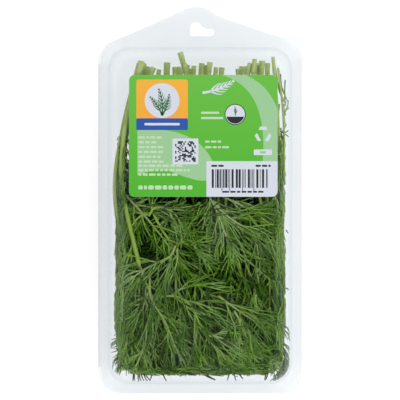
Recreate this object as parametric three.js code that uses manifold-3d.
// Dill bunch: sixteen leafy dill sprigs, packed flat in a clear hinged clamshell with a printed film label.
// The pack lies on its back. Millimetres, +Z up. The origin is the middle of the pack's footprint, on the
// surface that the tray stands on. +Y points to the hang tab and to the cut stem ends, -X to the hinge.
import * as THREE from "three";
import { mergeVertices } from "three/addons/utils/BufferGeometryUtils.js";
import Module from "manifold-3d";

// Pack: one sheet of clear plastic, formed into a tray and a lid that meet at their flanges.
const HALF_WIDTH = 51;
const HALF_LENGTH = 96.6;
const SHEET = 0.6; // wall of both shells
const TRAY_DEPTH = 14; // surface to the top of the tray's flange
const FLANGE_GAP = 0.3; // between the two flanges, closed
const LID_RISE = 11.7; // underside of the lid's flange to the top of its window
const MOUTH_X = 46.1; // half width of the hollow at the flanges
const MOUTH_Y = 84.2; // half length of the hollow at the flanges
const MOUTH_CENTRE_Y = -7.85;
const MOUTH_CORNER = 11;
const DRAFT = 4.2; // how far a wall leans in from the flange to the floor or the window
const FILLET = 2; // between a wall and the floor or the window
const FILLET_STEPS = 2;
const CORNER_STEPS = 5;
const FOOT_CORNER = 12;
const SHOULDER_Y = 69; // where the straight sides end, below the hang tab
const HINGE_RADIUS = 0.6;
const HINGE_Y = [-80, 66]; // ends of the hinge bead
const HINGE_SIDES = 10;

// Label, stuck on the window.
const LABEL_SIZE = [73.5, 60.3];
const LABEL_CENTRE = [1.65, 31.75];
const LABEL_CORNER = 2.7;
const LABEL_THICK = 0.25;
const LABEL_GAP = 0.02;

// Dill.
const SEED = 1871;
const CLEARANCE = 0.3; // between the dill and the plastic
const LEAF_SPACING = 30; // along the stem
const RIB_ROOM = 2; // between a rib and the wall
const STEM_SIDES = 5;
const STEM_STEPS = 7;
const THIN_STEM = 0.62; // stem radius in its leafy part
const LEAFY_Y = 24; // stems are at their thin radius from here down
const ROOT_DEPTH = 2; // how deep the last leaf is sunk into the end of its stem
const BLADE = 0.7; // thickness of a leaf
const LIFT = 0.2; // every second leaf lies this much higher in its layer, and the others lower
const RIB_HALF_WIDTH = [0.6, 0.4]; // at the base and at the tip
const FAN_SHARES = [0.28, 0.53, 0.78]; // where a leaf's pairs of fans are along its rib
const FAN_FOOT = 0.9; // half width of a fan where it leaves the rib
const FAN_LENGTH = 0.44; // its longest thread, as a share of the rib
const END_FAN_LENGTH = 0.3;
const SHORT_THREAD = 2.5; // a fan with a thread no longer than this is left out
const FAN_VALLEY = 0.28; // how far out two threads part, as a share of the shorter one
const LEAST_VALLEY = 1.4;
const THREADS = [ // angle towards the leaf's base, and length as a share of the longest
  [0.5, 0.72],
  [0, 1],
  [-0.46, 0.6],
];

// Each sprig from its cut end to its crown, where the last leaf starts. Points are [x, y], radius is at the
// cut, and level is its place in the pile from 0 on the tray's floor to 15 under the window.
const SPRIGS = [
  { stem: [[-29, 69], [-38, 30], [-38.5, 6], [-30, -33]], radius: 1.6, level: 15, leafy: 0.33 },
  { stem: [[-26.5, 67], [-31, 22], [-36, -44]], radius: 1.3, level: 7, leafy: 0.34 },
  { stem: [[-24, 66], [-26, 26], [-24, -4], [-11, -27]], radius: 1.3, level: 14 },
  { stem: [[-16.5, 69], [-19, 20], [-26, -54]], radius: 1.7, level: 5 },
  { stem: [[-10, 74.2], [-3, 48], [2, 5], [-3, -45]], radius: 1.5, level: 8 },
  { stem: [[-9.5, 67], [-14, 25], [-8, -10]], radius: 1.7, level: 3 },
  { stem: [[-3, 67], [-6, 20], [7, -50]], radius: 1.3, level: 10 },
  { stem: [[1, 69], [-4, 22], [-14, -60]], radius: 1.5, level: 1 },
  { stem: [[5, 68.5], [-1, 24], [-13, -18], [-15, -44]], radius: 1.4, level: 12 },
  { stem: [[11, 67], [8, 20], [20, -55]], radius: 1.5, level: 0 },
  { stem: [[21, 67], [18, 25], [27, -8]], radius: 1.4, level: 6 },
  { stem: [[25, 68], [15, 26], [9, 0], [20, -34]], radius: 1.3, level: 13 },
  { stem: [[28, 69], [30, 20], [35, -40]], radius: 1.5, level: 4 },
  { stem: [[31, 69.3], [27, 20], [24, -38]], radius: 1.5, level: 11 },
  { stem: [[34, 69], [34, 25], [32, -60]], radius: 1.4, level: 2 },
  { stem: [[36.5, 71.5], [39.5, 30], [39, -42]], radius: 0.9, level: 9, leafy: 0.28 },
];

const wasm = await Module();
wasm.setup();

const TRAY_RIM_Z = TRAY_DEPTH;
const LID_RIM_Z = TRAY_DEPTH + FLANGE_GAP;
const WINDOW_Z = LID_RIM_Z + LID_RISE;
const HINGE_Z = (TRAY_RIM_Z - SHEET + LID_RIM_Z + SHEET) / 2;
const HINGE_X = -HALF_WIDTH + HINGE_RADIUS;
const PILE_FLOOR = SHEET + CLEARANCE;
const PILE_TOP = WINDOW_Z - SHEET - CLEARANCE;
const PITCH = (PILE_TOP - PILE_FLOOR) / SPRIGS.length;

const plastic = new THREE.MeshStandardMaterial({
  color: 0xe9edf0,
  roughness: 0.08,
  metalness: 0,
  transparent: true,
  opacity: 0.25,
});
const film = new THREE.MeshStandardMaterial({ color: 0x65bd48, roughness: 0.45, metalness: 0 });
const dill = new THREE.MeshStandardMaterial({ color: 0x4f7a2a, roughness: 0.6, metalness: 0 });

// A solid for cutting and joining, from a closed three.js geometry.
function solidOf(geometry) {
  const bare = new THREE.BufferGeometry();
  bare.setAttribute("position", geometry.getAttribute("position"));
  bare.setIndex(geometry.getIndex());
  const merged = mergeVertices(bare, 1e-4);
  const vertProperties = merged.getAttribute("position").array;
  const triVerts = new Uint32Array(merged.getIndex().array);
  return new wasm.Manifold(new wasm.Mesh({ numProp: 3, vertProperties, triVerts }));
}

function meshOf(name, solid, material) {
  const { vertProperties, triVerts } = solid.getMesh();
  const geometry = new THREE.BufferGeometry();
  geometry.setAttribute("position", new THREE.BufferAttribute(vertProperties, 3));
  geometry.setIndex(new THREE.BufferAttribute(triVerts, 1));
  geometry.computeVertexNormals();
  const mesh = new THREE.Mesh(geometry, material);
  mesh.name = name;
  return mesh;
}

// A closed skin through rings of points, each with as many points as the first, capped at both ends.
function loft(rings) {
  const count = rings[0].length;
  const position = rings.flat(2);
  const index = [];
  for (let r = 0; r + 1 < rings.length; r++) {
    for (let i = 0; i < count; i++) {
      const a = r * count + i;
      const b = r * count + ((i + 1) % count);
      index.push(a, b, b + count, a, b + count, a + count);
    }
  }
  const last = (rings.length - 1) * count;
  for (let i = 1; i + 1 < count; i++) {
    index.push(0, i + 1, i);
    index.push(last, last + i, last + i + 1);
  }
  const geometry = new THREE.BufferGeometry();
  geometry.setAttribute("position", new THREE.Float32BufferAttribute(position, 3));
  geometry.setIndex(index);
  return geometry;
}

// ---- Pack -------------------------------------------------------------------------------------------

// The hollow's rounded rectangle, inset from the mouth, counter-clockwise seen from above.
function mouthRing(inset, z) {
  const corner = MOUTH_CORNER - inset / 2;
  const x = MOUTH_X - inset - corner;
  const y = MOUTH_Y - inset - corner;
  const ring = [];
  [[x, y], [-x, y], [-x, -y], [x, -y]].forEach(([cx, cy], quarter) => {
    for (let step = 0; step <= CORNER_STEPS; step++) {
      const angle = ((quarter + step / CORNER_STEPS) * Math.PI) / 2;
      ring.push([cx + corner * Math.cos(angle), MOUTH_CENTRE_Y + cy + corner * Math.sin(angle), z]);
    }
  });
  return ring;
}

// [inset, depth] of a drafted wall with a rounded foot, from the mouth to the flat floor.
function wallProfile(inset, depth) {
  const start = [inset + (DRAFT * (depth - FILLET)) / depth, depth - FILLET];
  const foot = [inset + DRAFT, depth];
  const end = [inset + DRAFT + FILLET, depth];
  const profile = [[inset, 0]];
  for (let step = 0; step <= FILLET_STEPS; step++) {
    const t = step / FILLET_STEPS;
    profile.push([0, 1].map((k) => (1 - t) ** 2 * start[k] + 2 * t * (1 - t) * foot[k] + t * t * end[k]));
  }
  return profile;
}

// A tray (turn -1) or a dome (turn 1) of sheet plastic, hollow towards its rim.
function dish(rimZ, depth, turn) {
  const outside = wallProfile(0, depth).map(([inset, d]) => mouthRing(inset, rimZ + turn * d));
  const inside = wallProfile(SHEET, depth - SHEET).map(([inset, d]) => mouthRing(inset, rimZ + turn * d));
  const rings = [...inside.reverse(), ...outside];
  return solidOf(loft(turn > 0 ? rings : rings.reverse()));
}

// Edge of a flange. Its left side is at left, and only the tray's has the square corner to open it by.
function flangeOutline(left, openingCorner) {
  const outline = new THREE.Shape();
  outline.moveTo(left, -HALF_LENGTH + FOOT_CORNER);
  outline.quadraticCurveTo(left, -HALF_LENGTH, left + FOOT_CORNER, -HALF_LENGTH);
  outline.lineTo(HALF_WIDTH - FOOT_CORNER, -HALF_LENGTH);
  outline.quadraticCurveTo(HALF_WIDTH, -HALF_LENGTH, HALF_WIDTH, -HALF_LENGTH + FOOT_CORNER);
  if (openingCorner) {
    outline.lineTo(HALF_WIDTH, 80.4);
    outline.quadraticCurveTo(HALF_WIDTH, 82.4, HALF_WIDTH - 2, 82.4);
    outline.lineTo(36, 82.5);
  } else {
    outline.lineTo(HALF_WIDTH, SHOULDER_Y);
    outline.quadraticCurveTo(HALF_WIDTH, 77, 44, 79.6);
    outline.lineTo(36, 82.5);
  }
  outline.lineTo(11, 91.2);
  outline.bezierCurveTo(6, 93.4, 3.5, HALF_LENGTH, -1.6, HALF_LENGTH);
  outline.bezierCurveTo(-6.5, HALF_LENGTH, -9.5, 94.2, -15, 91.8);
  outline.lineTo(-44, 79.1);
  outline.quadraticCurveTo(left, 76, left, SHOULDER_Y);
  return outline;
}

// Hole for a display peg: a round peak with a slot to its right.
function pegHole() {
  const hole = new THREE.Path();
  hole.moveTo(-4.9, 81.9);
  hole.lineTo(-4.9, 86);
  hole.absarc(-2, 86, 2.9, Math.PI, 0.35, true);
  hole.lineTo(2.6, 85.6);
  hole.lineTo(5.2, 85.6);
  hole.absarc(5.2, 83.75, 1.85, Math.PI / 2, -Math.PI / 2, true);
  hole.closePath();
  return hole;
}

function flange(outline, bottomZ) {
  const mouth = new THREE.Path(mouthRing(SHEET / 2, 0).map(([x, y]) => new THREE.Vector2(x, y)));
  outline.holes = [mouth, pegHole()];
  const geometry = new THREE.ExtrudeGeometry(outline, { depth: SHEET, bevelEnabled: false, curveSegments: 6 });
  return solidOf(geometry.translate(0, 0, bottomZ));
}

// The fold between the two flanges, formed as a bead along the tray's left edge.
function hingeBead() {
  const length = HINGE_Y[1] - HINGE_Y[0];
  const bead = new THREE.CylinderGeometry(HINGE_RADIUS, HINGE_RADIUS, length, HINGE_SIDES);
  return solidOf(bead.translate(HINGE_X, (HINGE_Y[0] + HINGE_Y[1]) / 2, HINGE_Z));
}

// Clears the tray's flange from under the hinge bead's outer half.
function hingeNotch() {
  const length = HINGE_Y[1] - HINGE_Y[0] + 2 * FLANGE_GAP;
  const notch = new THREE.BoxGeometry(2, length, 4 * SHEET);
  return solidOf(notch.translate(HINGE_X - 1, (HINGE_Y[0] + HINGE_Y[1]) / 2, TRAY_RIM_Z));
}

function makeTray() {
  const rim = flange(flangeOutline(-HALF_WIDTH, true), TRAY_RIM_Z - SHEET).subtract(hingeNotch());
  return rim.add(dish(TRAY_RIM_Z, TRAY_DEPTH, -1)).add(hingeBead());
}

function makeLid() {
  const left = HINGE_X + HINGE_RADIUS + FLANGE_GAP;
  return flange(flangeOutline(left, false), LID_RIM_Z).add(dish(LID_RIM_Z, LID_RISE, 1));
}

function makeLabel() {
  const [x, y] = LABEL_SIZE.map((side) => side / 2 - LABEL_CORNER);
  const sheet = new THREE.Shape();
  sheet.absarc(x, y, LABEL_CORNER, 0, Math.PI / 2);
  sheet.absarc(-x, y, LABEL_CORNER, Math.PI / 2, Math.PI);
  sheet.absarc(-x, -y, LABEL_CORNER, Math.PI, 1.5 * Math.PI);
  sheet.absarc(x, -y, LABEL_CORNER, 1.5 * Math.PI, 2 * Math.PI);
  const geometry = new THREE.ExtrudeGeometry(sheet, { depth: LABEL_THICK, bevelEnabled: false, curveSegments: 5 });
  return solidOf(geometry.translate(...LABEL_CENTRE, WINDOW_Z + LABEL_GAP));
}

// ---- Dill -------------------------------------------------------------------------------------------

// Draws from 0 to 1, the same every time for one seed.
function drawsFrom(seed) {
  let state = seed >>> 0;
  return () => {
    state = (Math.imul(state, 1664525) + 1013904223) >>> 0;
    return state / 4294967296;
  };
}

// How far a wall stands in from the mouth at height z, with its sheet.
function wallInset(z) {
  const share = z < TRAY_RIM_Z ? (TRAY_RIM_Z - z) / TRAY_DEPTH : Math.max(0, z - LID_RIM_Z) / LID_RISE;
  return SHEET + DRAFT * share + FILLET * Math.max(0, 5 * share - 4) ** 2;
}

// How far a point is past the wall, negative inside it.
function pastWall(x, y, z) {
  const corner = MOUTH_CORNER - wallInset(z) / 2;
  const overX = Math.abs(x) - (MOUTH_X - wallInset(z) - corner);
  const overY = Math.abs(y - MOUTH_CENTRE_Y) - (MOUTH_Y - wallInset(z) - corner);
  const round = Math.hypot(Math.max(overX, 0), Math.max(overY, 0));
  return round + Math.min(Math.max(overX, overY), 0) - corner;
}

// Height of a sprig's own layer. All layers follow one gently waved pile, so that no two sprigs cross.
function layerZ(level, x, y) {
  const fill = 1 - 0.08 * (x / MOUTH_X) ** 2 - 0.03 * (0.5 + 0.5 * Math.sin(y / 17 + x / 29));
  return PILE_FLOOR + (level + 0.5) * PITCH * fill;
}

// Whether a point of a sprig's layer is inside the pack by a margin.
function fits(level, { x, y }, margin) {
  return pastWall(x, y, layerZ(level, x, y)) < -margin - CLEARANCE;
}

// A circular arc from a point that starts in direction angle and turns by bend over its length.
function arcFrom({ x, y }, angle, bend, length) {
  const radius = length / bend;
  return (share) => ({
    x: x + radius * (Math.sin(angle + bend * share) - Math.sin(angle)),
    y: y - radius * (Math.cos(angle + bend * share) - Math.cos(angle)),
    angle: angle + bend * share,
  });
}

function stemCurve(sprig) {
  return new THREE.CatmullRomCurve3(sprig.stem.map(([x, y]) => new THREE.Vector3(x, y, 0)));
}

// The rib of a leaf as an arc. Where the wall is in its way it folds in, then across its stem, and is shorter.
function foldedRib(level, root, heading, spread, bend, length) {
  let rib;
  for (let fold = 1; fold > -1; fold -= 0.15) {
    rib = { length: length * (0.7 + 0.3 * fold) };
    rib.arc = arcFrom(root, heading + spread * fold, bend * fold, rib.length);
    if ([0.3, 0.6, 1].every((share) => fits(level, rib.arc(share), RIB_ROOM))) break;
  }
  return rib;
}

// The ribs of a sprig's leaves. They alternate along the leafy part of the stem, and the last one ends it.
function ribsOf(sprig, index) {
  const draw = drawsFrom(SEED + 97 * index);
  draw();
  const stem = stemCurve(sprig);
  const whole = stem.getLength();
  const { leafy = 0.52 } = sprig;
  const pairs = Math.round((whole * (1 - leafy)) / LEAF_SPACING);
  return Array.from({ length: pairs + 1 }, (_, k) => {
    const last = k === pairs;
    const share = last ? 1 - ROOT_DEPTH / whole : leafy + ((0.97 - leafy) * k) / pairs;
    const side = (k + index) % 2 ? 1 : -1;
    const along = stem.getTangentAt(share);
    const spread = last ? 0.3 * (draw() - 0.5) : side * (0.75 + 0.25 * (draw() - 0.5));
    const bend = last ? 0.1 + 0.4 * draw() : -side * (0.15 + 0.3 * draw());
    const length = 34 + 12 * draw();
    const heading = Math.atan2(along.y, along.x);
    const rib = foldedRib(sprig.level, stem.getPointAt(share), heading, spread, bend, length);
    return { ...rib, side: last ? 0 : side };
  });
}

// A round tapering stem, with flat cut ends.
function makeStem(sprig) {
  const up = new THREE.Vector3(0, 0, 1);
  const curve = stemCurve(sprig);
  const [, cutY] = sprig.stem[0];
  const stations = Array.from({ length: STEM_STEPS + 1 }, (_, i) => {
    const centre = curve.getPointAt(i / STEM_STEPS);
    const thick = THREE.MathUtils.clamp((centre.y - LEAFY_Y) / (cutY - LEAFY_Y), 0, 1);
    const radius = THREE.MathUtils.lerp(THIN_STEM, sprig.radius, thick);
    centre.z = THREE.MathUtils.clamp(layerZ(sprig.level, centre.x, centre.y), PILE_FLOOR + radius, PILE_TOP - radius);
    return { radius, centre };
  });
  const rings = stations.map(({ radius, centre }, i) => {
    const ahead = stations[Math.min(i + 1, STEM_STEPS)].centre;
    const behind = stations[Math.max(i - 1, 0)].centre;
    const side = up.clone().cross(ahead.clone().sub(behind)).normalize();
    return Array.from({ length: STEM_SIDES }, (_, k) => {
      const angle = (2 * Math.PI * (k + 0.25)) / STEM_SIDES;
      const offset = side.clone().multiplyScalar(Math.cos(angle)).addScaledVector(up, Math.sin(angle));
      return offset.multiplyScalar(radius).add(centre).toArray();
    });
  });
  return solidOf(loft(rings));
}

function polar({ x, y }, angle, distance) {
  return new THREE.Vector2(x + distance * Math.cos(angle), y + distance * Math.sin(angle));
}

// How long a thread can be before it meets the wall.
function threadReach(level, root, angle, length) {
  let reach = length;
  while (reach > SHORT_THREAD && !fits(level, polar(root, angle, reach), BLADE)) reach *= 0.8;
  return reach;
}

// Tips of a fan's threads with the valleys between them, from the base of the leaf towards its tip. There is
// no fan where the wall leaves it no room.
function fanPoints(level, root, middle, side, longest) {
  const angles = THREADS.map(([turn]) => middle + side * turn);
  const reaches = THREADS.map(([, share], i) => threadReach(level, root, angles[i], share * longest));
  if (Math.min(...reaches) <= SHORT_THREAD) return [];
  return angles.flatMap((angle, i) => {
    const tip = polar(root, angle, reaches[i]);
    if (i === 0) return [tip];
    const valley = Math.max(FAN_VALLEY * Math.min(reaches[i - 1], reaches[i]), LEAST_VALLEY);
    return [polar(root, (angles[i - 1] + angle) / 2, valley), tip];
  });
}

// One edge of a leaf with its fans, from base to tip. Side is 1 for the left edge and -1 for the right one.
// Fans that point back at the leaf's own stem are shorter.
function leafEdge(level, rib, side) {
  const edge = (share) => {
    const at = rib.arc(share);
    return polar(at, at.angle + (side * Math.PI) / 2, THREE.MathUtils.lerp(...RIB_HALF_WIDTH, share));
  };
  const points = [edge(0)];
  for (const share of FAN_SHARES) {
    const root = rib.arc(share);
    const longest = FAN_LENGTH * (side === -rib.side ? 0.6 : 1) * rib.length * (1.1 - share) ** 0.6;
    const foot = FAN_FOOT / rib.length;
    points.push(edge(share - foot));
    points.push(...fanPoints(level, root, root.angle + side * (1.05 - 0.25 * share), side, longest));
    points.push(edge(share + foot));
  }
  points.push(edge(1));
  return points;
}

// A leaf is one thin blade, cut to its rib into fans of threads, and laid in its sprig's layer.
function makeLeaf(level, rib, lift) {
  const end = rib.arc(1);
  const outline = [
    ...leafEdge(level, rib, -1),
    ...fanPoints(level, end, end.angle, -1, END_FAN_LENGTH * rib.length),
    ...leafEdge(level, rib, 1).reverse(),
  ];
  const geometry = new THREE.ExtrudeGeometry(new THREE.Shape(outline), { depth: BLADE, bevelEnabled: false });
  const position = geometry.getAttribute("position");
  for (let i = 0; i < position.count; i++) {
    const z = layerZ(level, position.getX(i), position.getY(i)) + lift - BLADE / 2;
    position.setZ(i, position.getZ(i) + z);
  }
  return solidOf(geometry);
}

// A sprig is one body. Small hollows that crossing leaves enclose are filled in.
function makeSprig(sprig, index) {
  const leaves = ribsOf(sprig, index).map((rib, k) => makeLeaf(sprig.level, rib, k % 2 ? LIFT : -LIFT));
  const shells = wasm.Manifold.union([makeStem(sprig), ...leaves]).simplify(0.01).decompose();
  return shells.reduce((body, shell) => (shell.volume() > body.volume() ? shell : body));
}

const pack = new THREE.Group();
pack.add(meshOf("tray", makeTray(), plastic));
SPRIGS.forEach((sprig, index) => {
  const name = "sprig_" + String(index + 1).padStart(2, "0");
  pack.add(meshOf(name, makeSprig(sprig, index), dill));
});
pack.add(meshOf("lid", makeLid(), plastic));
pack.add(meshOf("label", makeLabel(), film));

export default pack;
